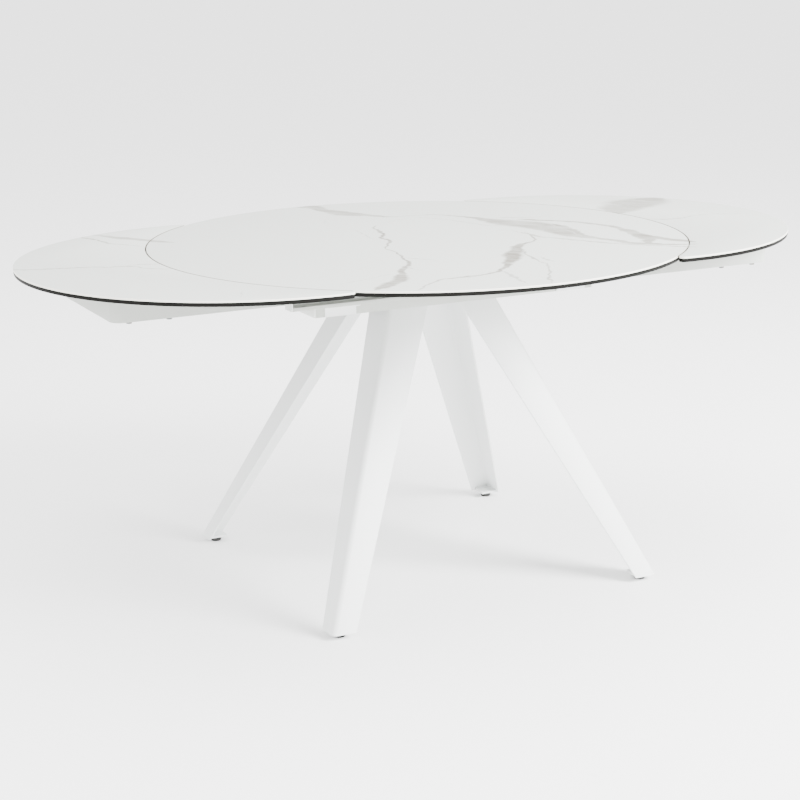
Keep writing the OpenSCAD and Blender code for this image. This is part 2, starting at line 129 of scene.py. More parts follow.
# Each vein: its points as (x, y, half width) in millimetres, in the order that it runs, and its
# strength from 0 to 1. It has no width at an end that lies on a slab, and never doubles back.
VEINS = (
    # Broad band that starts at the disc's rear edge and runs towards the right-hand leaf
    ([(-60, 640, 20), (0, 575, 26), (8, 500, 30), (16, 440, 34), (45, 398, 22), (70, 365, 12),
      (92, 335, 6), (150, 322, 5), (205, 308, 6), (235, 262, 8), (258, 212, 12), (285, 175, 0)], 0.8),
    ([(130, 305, 0), (160, 275, 4), (195, 215, 4), (218, 150, 5), (245, 95, 4), (262, 60, 0)], 0.5),
    ([(250, 215, 0), (275, 165, 26), (300, 105, 46), (325, 45, 52), (335, -15, 44),
      (330, -80, 34), (335, -140, 20), (350, -200, 0)], 0.85),
    # The band forks round two pale eyes and closes again at the disc's edge
    ([(330, 150, 0), (370, 105, 12), (415, 62, 12), (450, 5, 11), (470, -60, 12), (470, -135, 16),
      (468, -200, 20), (475, -262, 17), (500, -318, 15), (515, -345, 0)], 0.9),
    ([(372, 40, 0), (372, -20, 16), (362, -90, 13), (355, -165, 12), (370, -240, 16),
      (392, -290, 17), (425, -322, 14), (470, -350, 9), (510, -370, 0)], 0.9),
    ([(250, 20, 0), (250, -40, 5), (255, -95, 6), (283, -150, 6), (305, -205, 6), (330, -248, 6),
      (368, -292, 6), (410, -336, 6), (462, -378, 5), (490, -395, 0)], 0.8),
    ([(455, -120, 0), (462, -170, 16), (452, -235, 20), (430, -285, 16), (405, -310, 0)], 0.8),
    ([(285, 190, 0), (335, 174, 6), (380, 152, 4), (420, 156, 2), (455, 172, 0)], 0.5),
    # Jagged thread down the middle of the disc, widening into a smear at its front edge
    ([(130, 300, 0), (93, 277, 2), (45, 248, 1.5), (7, 222, 0)], 0.6),
    ([(12, 232, 0), (-12, 193, 4), (-23, 138, 6), (-58, 60, 6), (-64, 20, 7), (-108, -62, 3),
      (-116, -127, 3), (-127, -197, 4), (-151, -259, 6), (-177, -302, 8), (-215, -350, 12),
      (-233, -390, 18), (-290, -448, 22), (-345, -495, 0)], 1.0),
    ([(-124, -178, 0), (-113, -215, 3), (-82, -254, 1.2), (-70, -268, 0)], 0.7),
    ([(-165, -282, 0), (-171, -310, 3), (-168, -335, 2), (-160, -366, 0)], 0.7),
    ([(-200, -332, 0), (-279, -358, 2), (-334, -374, 2), (-397, -407, 0)], 0.55),
    ([(-63, 250, 0), (-64, 163, 2), (-77, 72, 2.5), (-84, 22, 0)], 0.5),
    ([(-20, 400, 0), (-67, 344, 2), (-84, 285, 0)], 0.45),
    # Second thread with the darkest patch, right of the middle
    ([(262, -15, 0), (253, -44, 3), (234, -119, 4), (209, -155, 5), (165, -178, 12),
      (120, -232, 22), (84, -285, 24), (45, -345, 18), (5, -392, 9), (-29, -424, 7),
      (-77, -444, 6), (-128, -450, 5), (-186, -466, 5), (-217, -481, 3), (-275, -520, 0)], 1.0),
    ([(-25, -420, 0), (-27, -474, 6), (-41, -532, 4), (-52, -590, 0)], 0.6),
    ([(140, -222, 0), (118, -280, 5), (101, -327, 5), (96, -370, 3.5), (88, -414, 4),
      (54, -497, 5), (21, -529, 4), (-4, -585, 2), (-8, -600, 0)], 0.75),
    ([(119, -300, 0), (119, -360, 4), (124, -395, 2), (131, -430, 0)], 0.6),
    ([(-285, -535, 0), (-266, -519, 3), (-198, -470, 4), (-139, -456, 4), (-93, -453, 3),
      (-30, -425, 0)], 0.75),
    # Threads on the left-hand leaf
    ([(-625, 470, 0), (-590, 415, 9), (-562, 362, 13), (-537, 322, 15), (-515, 290, 16),
      (-480, 240, 0)], 0.75),
    ([(-655, 435, 0), (-630, 394, 6), (-616, 354, 6), (-604, 300, 5), (-580, 262, 4),
      (-556, 222, 0)], 0.8),
    ([(-925, 112, 0), (-891, 99, 6), (-850, 80, 6), (-805, 64, 5), (-755, 44, 5), (-713, 24, 5),
      (-678, 12, 5), (-655, -23, 4), (-619, -51, 4), (-590, -60, 0)], 0.9),
    ([(-685, 18, 0), (-637, 12, 4), (-598, 8, 2), (-590, 7, 0)], 0.8),
    ([(-556, -345, 0), (-580, -382, 2.5), (-600, -420, 0)], 0.4),
    # Clouded patch and one thread on the right-hand leaf
    ([(585, 85, 0), (625, 145, 52), (680, 190, 78), (740, 222, 82), (790, 245, 56), (835, 262, 0)], 0.75),
    ([(600, -5, 0), (640, -35, 5), (690, -46, 6), (738, -32, 4), (780, -34, 3), (830, -48, 2.5),
      (895, -95, 0)], 0.6),
)


def curve_points(made, points):
    """Sets a Float Curve's points; x and y are between 0 and 1."""
    line = made.mapping.curves[0]
    while len(line.points) < len(points):
        line.points.new(0.5, 0.5)
    for spot, (x, y) in zip(line.points, points):
        spot.location = (x, y)
        spot.handle_type = "AUTO_CLAMPED"
    made.mapping.update()


# The half width that a Float Curve's value of 1 stands for
WIDEST = 100 * MM
# Taken off every half width, so that a vein that ends with none has none beyond its end
THINNING = 0.3 * MM
# A vein fades over this share of its half width, and this much more
FADE_SHARE = 0.4
FADE = 1 * MM


def vein_mask(tree, where):
    """Strength of the marble veins at a place, from 0 to 1."""
    total = None
    for points, strength in VEINS:
        first, last = Vector(points[0][:2]) * MM, Vector(points[-1][:2]) * MM
        way = (last - first).normalized()
        side = Vector((-way.y, way.x))
        spots = [(Vector((x, y)) * MM, w * MM) for x, y, w in points]
        low, high = first.dot(way), last.dot(way)
        shares = [(p.dot(way) - low) / (high - low) for p, w in spots]
        along = add(tree, "VectorMath", {0: where, 1: (*way, 0)}, operation="DOT_PRODUCT")
        across = add(tree, "VectorMath", {0: where, 1: (*side, 0)}, operation="DOT_PRODUCT")
        at = add(tree, "MapRange", {"Value": along.outputs["Value"], "From Min": low, "From Max": high})
        middle = add(tree, "FloatCurve", {"Value": at.outputs[0]})
        # From -1 to 1 metre across becomes 0 to 1 on the curve
        curve_points(middle, [(share, 0.5 + p.dot(side) / 2) for share, (p, w) in zip(shares, spots)])
        width = add(tree, "FloatCurve", {"Value": at.outputs[0]})
        curve_points(width, [(share, w / WIDEST) for share, (p, w) in zip(shares, spots)])
        half = add(tree, "Math", {0: width.outputs[0], 1: WIDEST, 2: -THINNING}, operation="MULTIPLY_ADD")
        centre = add(tree, "Math", {0: middle.outputs[0], 1: 2.0, 2: -1.0}, operation="MULTIPLY_ADD")
        off = add(tree, "Math", {0: across.outputs["Value"], 1: centre.outputs[0]}, operation="SUBTRACT")
        gap = add(tree, "Math", {0: off.outputs[0]}, operation="ABSOLUTE")
        inside = add(tree, "Math", {0: half.outputs[0], 1: gap.outputs[0]}, operation="SUBTRACT")
        fade = add(tree, "Math", {0: half.outputs[0], 1: FADE_SHARE, 2: FADE}, operation="MULTIPLY_ADD")
        full = add(
            tree, "Math", {0: inside.outputs[0], 1: fade.outputs[0]}, operation="DIVIDE", use_clamp=True
        )
        vein = add(tree, "Math", {0: full.outputs[0], 1: strength}, operation="MULTIPLY").outputs[0]
        if total is None:
            total = vein
        else:
            total = add(tree, "Math", {0: total, 1: vein}, operation="MAXIMUM").outputs[0]
    return total


# ---------------------------------------------------------------- finishes


def wander(tree, where, place, scale, reach):
    """Moves a place sideways by a noise read at where, by up to half of reach either way."""
    noise = add(tree, "TexNoise", {"Vector": where, "Scale": scale, "Detail": 3.0, "Roughness": 0.6})
    off = add(tree, "VectorMath", {0: noise.outputs["Color"], 1: (0.5, 0.5, 0.5)}, operation="SUBTRACT")
    moved = add(
        tree, "VectorMath", {0: off.outputs[0], 1: (reach, reach, 0), 2: place}, operation="MULTIPLY_ADD"
    )
    return moved.outputs[0]


def sintered_stone(finish):
    """Sintered ceramic with a printed marble, honed to a satin."""
    # Pale grey-white ground with warm grey veins, and a soft reflection without sparkle
    material, tree, shader = start("sintered_stone_marbled", tuple(finish.stone), 0.5, IOR=1.55)
    here = add(tree, "TexCoord").outputs["Object"]
    # Two sizes of wander make the veins' edges ragged: swings 90 mm apart and teeth 14 mm apart
    swung = wander(tree, here, here, 11.0, 45 * MM)
    ragged = wander(tree, here, swung, 70.0, 13 * MM)
    veins = vein_mask(tree, ragged)
    # Clouding and darker streaks along the veins, about 20 mm across and four times as long
    drawn = add(
        tree, "Mapping",
        {"Vector": swung, "Rotation": (0, 0, math.radians(-54)), "Scale": (3.2, 0.8, 1)},
        vector_type="TEXTURE",
    )
    cloud = add(
        tree, "TexNoise", {"Vector": drawn.outputs[0], "Scale": 38.0, "Detail": 6.0, "Roughness": 0.7}
    )
    cloudy = add(
        tree, "MapRange", {"Value": cloud.outputs[0], "From Min": 0.35, "From Max": 0.65, "To Min": 0.5}
    )
    shown = add(tree, "Math", {0: veins, 1: cloudy.outputs[0]}, operation="MULTIPLY")
    # Very faint drift of the ground, about 400 mm across
    drift = add(tree, "TexNoise", {"Vector": here, "Scale": 2.5, "Detail": 3.0})
    ground = add(
        tree, "Mix", {0: drift.outputs[0], 6: tuple(finish.stone), 7: tuple(finish.stone_shade)},
        data_type="RGBA",
    )
    full = add(
        tree, "Mix", {0: shown.outputs[0], 6: ground.outputs[2], 7: tuple(finish.vein)}, data_type="RGBA"
    )
    tree.links.new(full.outputs[2], shader.inputs["Base Color"])
    # The honed skin's 0.3 mm pits are drawn 1.2 mm across so that they show
    pits = add(tree, "TexNoise", {"Vector": here, "Scale": 830.0, "Detail": 2.0})
    bump = add(tree, "Bump", {"Height": pits.outputs[0], "Distance": 0.00002, "Strength": 0.6})
    tree.links.new(bump.outputs[0], shader.inputs["Normal"])
    vary(tree, shader, "Roughness", pits.outputs[0], 0.44, 0.56)
    return material


def stone_edge(name, colour):
    """The slab's cut edge: the ceramic's own body, ground."""
    # A little rougher than the face, with the grinder's fine tooth
    material, tree, shader = start(name, colour, 0.6, IOR=1.55)
    mask = grain(tree, shader, 1.5 * MM, 0.00003)
    tint(tree, shader, mask, colour, tuple(v * 0.94 for v in colour[:3]) + (1.0,))
    return material


def backed_glass(finish):
    """Tempered glass with a black enamelled back."""
    # Nearly black with a sharp, polished reflection
    material, tree, shader = start("enamelled_tempered_glass", tuple(finish.glass), 0.12, IOR=1.52)
    mask = grain(tree, shader, 30 * MM, 0.00002)
    tint(tree, shader, mask, tuple(finish.glass), linear("#23231F"))
    vary(tree, shader, "Roughness", mask, 0.08, 0.16)
    return material


def ground_glass_edge(finish):
    """The glass's edge, ground with a fine wheel."""
    # A dull black with next to no sheen
    material, tree, shader = start(
        "ground_glass_edge", tuple(finish.glass), 0.4, IOR=1.52, Specular_IOR_Level=0.03
    )
    here = add(tree, "TexCoord").outputs["Object"]
    # Wheel lines run round the edge, 0.8 mm apart, drawn 1.6 mm apart
    drawn = add(tree, "VectorMath", {0: here, 1: (8.0, 8.0, 620.0)}, operation="MULTIPLY")
    lines = add(tree, "TexNoise", {"Vector": drawn.outputs[0], "Scale": 1.0, "Detail": 2.0})
    bump = add(tree, "Bump", {"Height": lines.outputs[0], "Distance": 0.00008, "Strength": 0.7})
    tree.links.new(bump.outputs[0], shader.inputs["Normal"])
    tint(tree, shader, lines.outputs[0], tuple(finish.glass), linear("#151514"))
    vary(tree, shader, "Roughness", lines.outputs[0], 0.34, 0.5)
    return material


def powder_coat(name, colour):
    """White polyester powder coat on steel, baked with a fine texture."""
    # Slightly cool white on legs and bearers; the frame's greyer copy is painted shade under the top; low
    # sheen and faint orange peel
    material, tree, shader = start(name, colour, 0.42, IOR=1.5)
    # The texture's 0.8 mm grains are drawn 2 mm across so that they show
    mask = grain(tree, shader, 2.0 * MM, 0.00007, detail=3.0)
    tint(tree, shader, mask, colour, tuple(v * 0.97 for v in colour[:3]) + (1.0,))
    vary(tree, shader, "Roughness", mask, 0.36, 0.5)
    return material


def zinc_plate(finish):
    """Bright zinc plate on steel, clear passivated."""
    # Mid-grey metal with soft spangles, some a little blue and some straw
    material, tree, shader = start("zinc_plated_steel", tuple(finish.zinc), 0.3, Metallic=1.0)
    here = add(tree, "TexCoord").outputs["Object"]
    spangle = add(tree, "TexVoronoi", {"Vector": here, "Scale": 1 / (4 * MM)})
    mask = grain(tree, shader, 1.2 * MM, 0.00003)
    tint(tree, shader, spangle.outputs["Color"], tuple(finish.zinc), linear("#6E6A61"))
    vary(tree, shader, "Roughness", mask, 0.24, 0.4)
    return material


def bearing_bronze():
    """Turned leaded bronze, oiled."""
    # Brown-gold metal with a fine tooth and darker oiled spots
    bright = linear("#A9793F")
    material, tree, shader = start("bearing_bronze", bright, 0.35, Metallic=1.0)
    mask = grain(tree, shader, 0.9 * MM, 0.00004)
    tint(tree, shader, mask, bright, linear("#8C6232"))
    vary(tree, shader, "Roughness", mask, 0.28, 0.44)
    return material


def moulded(name, base, shade, roughness, size, depth):
    """Moulded plastic or rubber with its mould's spark-eroded grain, size across and depth deep."""
    material, tree, shader = start(name, linear(base), roughness, IOR=1.5)
    mask = grain(tree, shader, size, depth, detail=3.0)
    tint(tree, shader, mask, linear(base), linear(shade))
    vary(tree, shader, "Roughness", mask, roughness - 0.06, roughness + 0.08)
    return material


FINISH = {}


def make_finishes(finish):
    """Makes every material once."""
    if FINISH:
        return
    FINISH["stone"] = sintered_stone(finish)
    FINISH["stone edge"] = stone_edge("sintered_stone_cut_edge", tuple(finish.stone_edge))
    # Where two slabs meet, the edge is painted darker: painted shade for the shadowed gap between them
    FINISH["seam edge painted shade"] = stone_edge("sintered_stone_edge_painted_seam_shade", linear("#6B6558"))
    FINISH["glass"] = backed_glass(finish)
    FINISH["glass edge"] = ground_glass_edge(finish)
    FINISH["coat"] = powder_coat("powder_coated_steel", tuple(finish.coat))
    # The under-frame gets a greyer copy of the white coat: painted shade for its place under the top
    FINISH["frame coat painted shade"] = powder_coat("powder_coated_steel_painted_shade", tuple(finish.frame_coat_painted_shade))
    FINISH["zinc"] = zinc_plate(finish)
    FINISH["bronze"] = bearing_bronze()
    # Polypropylene caps: a touch warmer than the coat and with less sheen
    FINISH["caps"] = moulded("moulded_polypropylene", "#E6E8E4", "#DCDEDA", 0.5, 1.5 * MM, 0.00006)
    # Cast nylon runners: waxy, slightly yellow
    FINISH["nylon"] = moulded("cast_nylon", "#E3E0D4", "#D6D2C4", 0.4, 2.5 * MM, 0.00004)
    # Black polyethylene glides: dull, with a faint grain
    FINISH["glide"] = moulded("moulded_polyethylene", "#1B1B1A", "#262624", 0.5, 1.2 * MM, 0.00008)
    # Neoprene pads: matt black
    FINISH["rubber"] = moulded("neoprene_rubber", "#1D1D1C", "#2A2927", 0.8, 1.0 * MM, 0.0001)


# ---------------------------------------------------------------- mesh helpers

# Edges sharper than this are arrises that get broken
SHARP = math.radians(40)


def piece(name, bm, materials, body, smooth_angle=35):
    """Makes an object of a bmesh, gives it its materials and lets it ride on a CAD body."""
    bmesh.ops.recalc_face_normals(bm, faces=bm.faces)
    mesh = bpy.data.meshes.new(name)
    bm.to_mesh(mesh)
    bm.free()
    made = bpy.data.objects.new(name, mesh)
    bpy.context.scene.collection.objects.link(made)
    for material in materials:
        mesh.materials.append(FINISH[material])
    smooth(mesh, smooth_angle)
    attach(made, body)
    return made


def smooth(mesh, angle):
    """Smooth shading, with edges sharper than an angle in degrees left sharp."""
    mesh.shade_smooth()
    mesh.set_sharp_from_angle(angle=math.radians(angle))


def ring(bm, points):
    """A vertex at each place."""
    return [bm.verts.new(p) for p in points]


def skin(bm, rings, index=0):
    """Faces between successive rings of the same count, with a face over each end."""
    count = len(rings[0])
    for low, high in zip(rings, rings[1:]):
        for i in range(count):
            j = (i + 1) % count
            bm.faces.new((low[i], low[j], high[j], high[i])).material_index = index
    bm.faces.new(rings[0][::-1]).material_index = index
    bm.faces.new(rings[-1]).material_index = index


def lathe(bm, profile, at, sides):
    """Turns a profile of (radius, height) about the upright line through a place."""
    x, y, foot = at
    angles = [2 * math.pi * i / sides for i in range(sides)]
    rings = []
    for r, z in profile:
        rings.append(ring(bm, [(x + r * math.cos(a), y + r * math.sin(a), foot + z) for a in angles]))
    skin(bm, rings)


def eased(z0, z1, ease):
    """(inset, height) pairs of a slab's edge whose two arrises are rounded by ease."""
    steps = 3
    out = []
    for i in range(steps + 1):
        a = math.pi / 2 * i / steps
        out.append((ease * (1 - math.sin(a)), z0 + ease * (1 - math.cos(a))))
    for i in range(steps + 1):
        a = math.pi / 2 * i / steps
        out.append((ease * (1 - math.cos(a)), z1 - ease * (1 - math.sin(a))))
    return out


def slab(name, outline, z0, z1, ease, materials, body, in_seam):
    """A flat slab with eased arrises, from z0 up to z1. outline(inset) gives its plan. The materials
    are its face's, its edge's and its edge's where in_seam says that it faces another slab."""
    bm = bmesh.new()
    rings = [ring(bm, [(x, y, z) for x, y in outline(inset)]) for inset, z in eased(z0, z1, ease)]
    skin(bm, rings, index=1)
    # Edge faces toward another slab get the third material, which on the ceramic is painted shade
    for face in bm.faces:
        if in_seam(face.calc_center_median()):
            face.material_index = 2
    bm.faces.ensure_lookup_table()
    for face in bm.faces[-2:]:
        face.material_index = 0
    return piece(name, bm, materials, body, smooth_angle=50)


def break_arrises(made, width, segments):
    """Rounds the edges of an object that are sharper than SHARP."""
    bevel = made.modifiers.new("broken_arris", "BEVEL")
    bevel.width = width
    bevel.segments = segments
    bevel.limit_method = "ANGLE"
    bevel.angle_limit = SHARP
    bevel.harden_normals = True


def soften(node, width, material, segments=2):
    """Gives a CAD node its finish and lightly broken arrises."""
    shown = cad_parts[node]
    shown.data.materials.clear()
    shown.data.materials.append(FINISH[material])
    weld = shown.modifiers.new("weld", "WELD")
    weld.merge_threshold = 0.01 * MM
    if width:
        break_arrises(shown, width, segments)
    smooth(shown.data, 35)


# ---------------------------------------------------------------- settings


def length_setting(name, description, value):
    """A length whose default is value millimetres."""
    return bpy.props.FloatProperty(
        name=name, description=description, default=value * MM, min=0,
        unit="LENGTH", subtype="DISTANCE", precision=4,
    )


def colour_setting(name, description, hex_colour):
    """A colour whose default is an sRGB hex colour."""
    return bpy.props.FloatVectorProperty(
        name=name, description=description, default=linear(hex_colour), size=4, min=0, max=1, subtype="COLOR"
    )


class TableShape(bpy.types.PropertyGroup):
    """Sizes that the CAD model leaves open."""

    stone_ease: length_setting("Ceramic arris", "Radius of the ceramic slabs' arrises", 0.7)
    glass_ease: length_setting("Glass arris", "Radius of the ground arrises of the glass", 1.2)
    tip_round: length_setting("Leaf tips", "Radius of the rounded tips of a leaf", 10)
    leg_bend: length_setting("Leg fold", "Outer radius of the fold along a leg", 11)
    tray_bend: length_setting("Tray corner", "Radius of a tray's outer corners", 24)
    arris: length_setting("Steel arris", "Radius of the coated steel's arrises", 0.8)
    bead: length_setting("Weld bead", "Radius of a weld bead", 2.2)


class TableFinish(bpy.types.PropertyGroup):
    """Colours of the finishes."""

    stone: colour_setting("Stone ground", "Ground colour of the marbled ceramic", "#C7CAC5")
    stone_shade: colour_setting("Stone drift", "Colour that the ground drifts to", "#C2C5C0")
    stone_edge: colour_setting("Stone edge", "Colour of the ceramic's cut edge", "#EFEDE4")
    vein: colour_setting("Vein", "Colour of the veins", "#6C675D")
    glass: colour_setting("Glass", "Colour of the enamelled glass", "#161614")
    coat: colour_setting("Leg coat", "Colour of the legs' powder coat", "#E4E6E5")
    # A greyer copy of the leg coat: painted shade for the under-frame
    frame_coat_painted_shade: colour_setting("Frame coat", "Colour of the under-frame's powder coat", "#B7BAB4")
    zinc: colour_setting("Zinc", "Colour of the bluer spangles of the zinc plate", "#5C6163")


class TableStage(bpy.types.PropertyGroup):
    """Camera and light."""

    focal: bpy.props.FloatProperty(
        name="Lens", description="Focal length on a 36 mm sensor", default=83.712, min=10, unit="CAMERA"
    )
    key_power: bpy.props.FloatProperty(
        name="Key light", description="Power of the key light", default=1100.0, min=0, unit="POWER"
    )
    fill_power: bpy.props.FloatProperty(
        name="Fill light", description="Power of the fill light", default=120.0, min=0, unit="POWER"
    )
    zenith: bpy.props.FloatProperty(
        name="Light overhead", description="Strength of the tent overhead", default=3.3, min=0
    )
    horizon: bpy.props.FloatProperty(
        name="Light all round", description="Strength of the tent at eye level", default=2.1, min=0
    )
    floor: colour_setting("Floor", "Colour of the floor", "#FFFFFF")


# ---------------------------------------------------------------- slabs


def arc(centre_x, centre_y, radius, start_angle, end_angle, steps):
    """Places along an arc, in radians, without its last one."""
    angles = [start_angle + (end_angle - start_angle) * i / steps for i in range(steps)]
    return [(centre_x + radius * math.cos(a), centre_y + radius * math.sin(a)) for a in angles]


def disc_outline(radius):
    """Plan of the centre disc, as a function of the inset."""

    def plan(inset):
        return arc(0, 0, radius - inset, 0, 2 * math.pi, 480)

    return plan


def leaf_outline(centre, outer, inner, tip, turn):
    """Plan of a crescent leaf with rounded tips, as a function of the inset. centre is how far
    its outer arc's centre stands from the table's middle."""
    # A tip's circle touches both arcs, so its centre is tip away from each of them
    near_reach = inner + tip
    far_reach = outer - tip
    tip_x = (far_reach**2 - near_reach**2 - centre**2) / (2 * centre)
    tip_y = math.sqrt(near_reach**2 - tip_x**2)
    far = math.atan2(tip_y, tip_x + centre)
    near = math.atan2(tip_y, tip_x)

    def plan(inset):
        r = max(tip - inset, 0.5 * MM)
        points = arc(-centre, 0, outer - inset, far, 2 * math.pi - far, 300)
        points += arc(tip_x, -tip_y, r, -far, math.pi - near, 10)
        points += arc(0, 0, inner + inset, 2 * math.pi - near, near, 220)
        points += arc(tip_x, tip_y, r, math.pi + near, 2 * math.pi + far, 10)
        return [(turn * x, turn * y) for x, y in points]

    return plan


def leaf_sizes(node):
    """How far out a leaf's arc has its centre, and the arc's radius, from its CAD solid."""
    low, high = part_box(node)
    out = max(abs(low.x), abs(high.x))
    wide = max(abs(low.y), abs(high.y))
    # The arc's full width is reached at its centre
    return out - wide, wide


class TABLE_OT_slabs(bpy.types.Operator):
    """Make the ceramic faces and the glass under them"""

    bl_idname = "table.slabs"
    bl_label = "Ceramic and glass slabs"

    def execute(self, context):
        shape = context.scene.table_shape
        make_finishes(context.scene.table_finish)
        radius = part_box("disc_ceramic")[1].x
        for kind, ease, faces, slot in (
            # The ceramic's third finish is its edge painted dark as shade where it faces another slab
            ("ceramic", shape.stone_ease, ("stone", "stone edge", "seam edge painted shade"), "ceramic"),
            ("glass", shape.glass_ease, ("glass", "glass edge", "glass edge"), "glass_edge"),
        ):
            low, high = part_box("disc_" + kind)
            # The glass stands back from the ceramic's edge
            stand_back = radius - high.x
            tips_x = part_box("leaf_right_" + kind)[0].x
            made = slab(
                "disc_slab_" + kind, disc_outline(high.x), low.z, high.z, ease, faces, "disc",
                lambda at: abs(at.x) > tips_x,
            )
            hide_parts("disc_" + kind)
            for side, turn in SIDES:
                node = f"leaf_{side}_{kind}"
                centre, outer = leaf_sizes(node)
                inner = radius + SEAM_GAP + stand_back
                seam_limit = inner + 2 * MM
                plan = leaf_outline(centre, outer, inner, shape.tip_round - stand_back, turn)
                made = slab(
                    f"leaf_slab_{side}_{kind}", plan, low.z, high.z, ease, faces, "tray_" + side,
                    lambda at: at.xy.length < seam_limit,
                )
                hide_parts(node)
        return {"FINISHED"}


# ---------------------------------------------------------------- legs and feet


def corner_arc(x, y, radius, start_angle, end_angle, steps):
    """Places along an arc, in degrees, with both its ends."""
    angles = [math.radians(start_angle + (end_angle - start_angle) * i / steps) for i in range(steps + 1)]
    return [(x + radius * math.cos(a), y + radius * math.sin(a)) for a in angles]


def angle_plan(width, plate, bend):
    """Plan of a folded angle whose outer corner is at 0, 0 and whose flanges run to -width."""
    ease = 0.9 * MM
    inner = max(bend - plate, 1.5 * MM)
    points = corner_arc(-bend, -bend, bend, 90, 0, 6)
    points += corner_arc(-ease, -width + ease, ease, 0, -90, 3)
    points += corner_arc(-plate + ease, -width + ease, ease, -90, -180, 3)
    points += corner_arc(-plate - inner, -plate - inner, inner, 0, 90, 6)
    points += corner_arc(-width + ease, -plate + ease, ease, -90, -180, 3)
    points += corner_arc(-width + ease, -ease, ease, 180, 90, 3)
    return points


LEGS = (
    ("leg_front_left", -1, -1),
    ("leg_front_right", 1, -1),
    ("leg_rear_left", -1, 1),
    ("leg_rear_right", 1, 1),
)


class TABLE_OT_legs(bpy.types.Operator):
    """Make the four folded, tapered legs"""

    bl_idname = "table.legs"
    bl_label = "Folded legs"

    def execute(self, context):
        shape = context.scene.table_shape
        make_finishes(context.scene.table_finish)
        for name, sx, sy in LEGS:
            low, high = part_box(name)
            corners = [v.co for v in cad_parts[name].data.vertices]
            foot = [v for v in corners if v.z < low.z + MM]
            head = [v for v in corners if v.z > high.z - MM]
            # Outer corner, flange width and height, at the foot and at the head
            ends = []
            for spots, z in ((foot, low.z), (head, high.z)):
                xs = [abs(v.x) for v in spots]
                ys = [abs(v.y) for v in spots]
                ends.append((max(xs), max(ys), max(xs) - min(xs), z))
            bm = bmesh.new()
            rings = []
            steps = 8
            for i in range(steps + 1):
                x, y, width, z = (a + (b - a) * i / steps for a, b in zip(*ends))
                plan = angle_plan(width, LEG_PLATE, shape.leg_bend)
                rings.append(ring(bm, [(sx * (x + px), sy * (y + py), z) for px, py in plan]))
            skin(bm, rings)
            made = piece(name + "_folded", bm, ["coat"], "base")
            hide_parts(name)
        return {"FINISHED"}


def bead(bm, start_at, end_at, radius, ripples):
    """A level weld bead between two places: a ripple-edged round cord."""
    start_at, end_at = Vector(start_at), Vector(end_at)
    way = (end_at - start_at).normalized()
    side = way.cross(Vector((0, 0, 1))).normalized()
    up = side.cross(way)
    angles = [2 * math.pi * i / 8 for i in range(8)]
    rings = []
    steps = ripples * 4
    for i in range(steps + 1):
        share = i / steps
        r = radius * (0.88 + 0.12 * math.cos(2 * math.pi * ripples * share))
        if i in (0, steps):
            r *= 0.5
        middle = start_at.lerp(end_at, share)
        rings.append(ring(bm, [middle + side * (r * math.cos(a)) + up * (r * math.sin(a)) for a in angles]))
    skin(bm, rings)


def rear_right_spread(node):
    """Least and greatest x, then y, of the one of a node's four pieces at the rear right."""
    spots = [v.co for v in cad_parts[node].data.vertices if v.co.x > 0 and v.co.y > 0]
    return [(min(v[axis] for v in spots), max(v[axis] for v in spots)) for axis in (0, 1)]


class TABLE_OT_feet(bpy.types.Operator):
    """Make the foot plates' welds and the screw-in glides"""

    bl_idname = "table.feet"
    bl_label = "Feet"

    def execute(self, context):
        shape = context.scene.table_shape
        make_finishes(context.scene.table_finish)
        soften("foot_plates", shape.arris / 2, "coat")
        soften("leg_heads", shape.arris / 2, "coat")
        low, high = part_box("glides")
        (x0, x1), (y0, y1) = rear_right_spread("glides")
        r = (x1 - x0) / 2
        h = high.z - low.z
        # Rounded under, straight at the side, then a shoulder up to the neck
        profile = [
            (r - 3.5 * MM, 0), (r - 2 * MM, 0.5 * MM), (r - 0.8 * MM, 2 * MM), (r - 0.2 * MM, 4 * MM),
            (r - 0.2 * MM, h - 4 * MM), (r - 1.2 * MM, h - 3.2 * MM), (r - 3 * MM, h - 2.8 * MM),
            (r - 3 * MM, h - 0.05 * MM),
        ]
        bm = bmesh.new()
        for sx, sy in CORNERS:
            lathe(bm, profile, (sx * (x0 + x1) / 2, sy * (y0 + y1) / 2, low.z), 48)
        made = piece("screw_in_glides", bm, ["glide"], "base")
        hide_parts("glides")
        # A foot plate is welded to the leg along its two outer edges, a bead a little inside each
        (x0, x1), (y0, y1) = rear_right_spread("foot_plates")
        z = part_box("foot_plates")[1].z
        inset = shape.bead * 0.55
        short_of_end = 3 * MM
        bm = bmesh.new()
        for sx, sy in CORNERS:
            corner = (sx * (x1 - inset), sy * (y1 - inset), z)
            bead(bm, (sx * (x0 + short_of_end), sy * (y1 - inset), z), corner, shape.bead, 11)
            bead(bm, (sx * (x1 - inset), sy * (y0 + short_of_end), z), corner, shape.bead, 11)
        piece("foot_welds", bm, ["coat"], "base")
        return {"FINISHED"}


# ---------------------------------------------------------------- under frame, trays, fixings


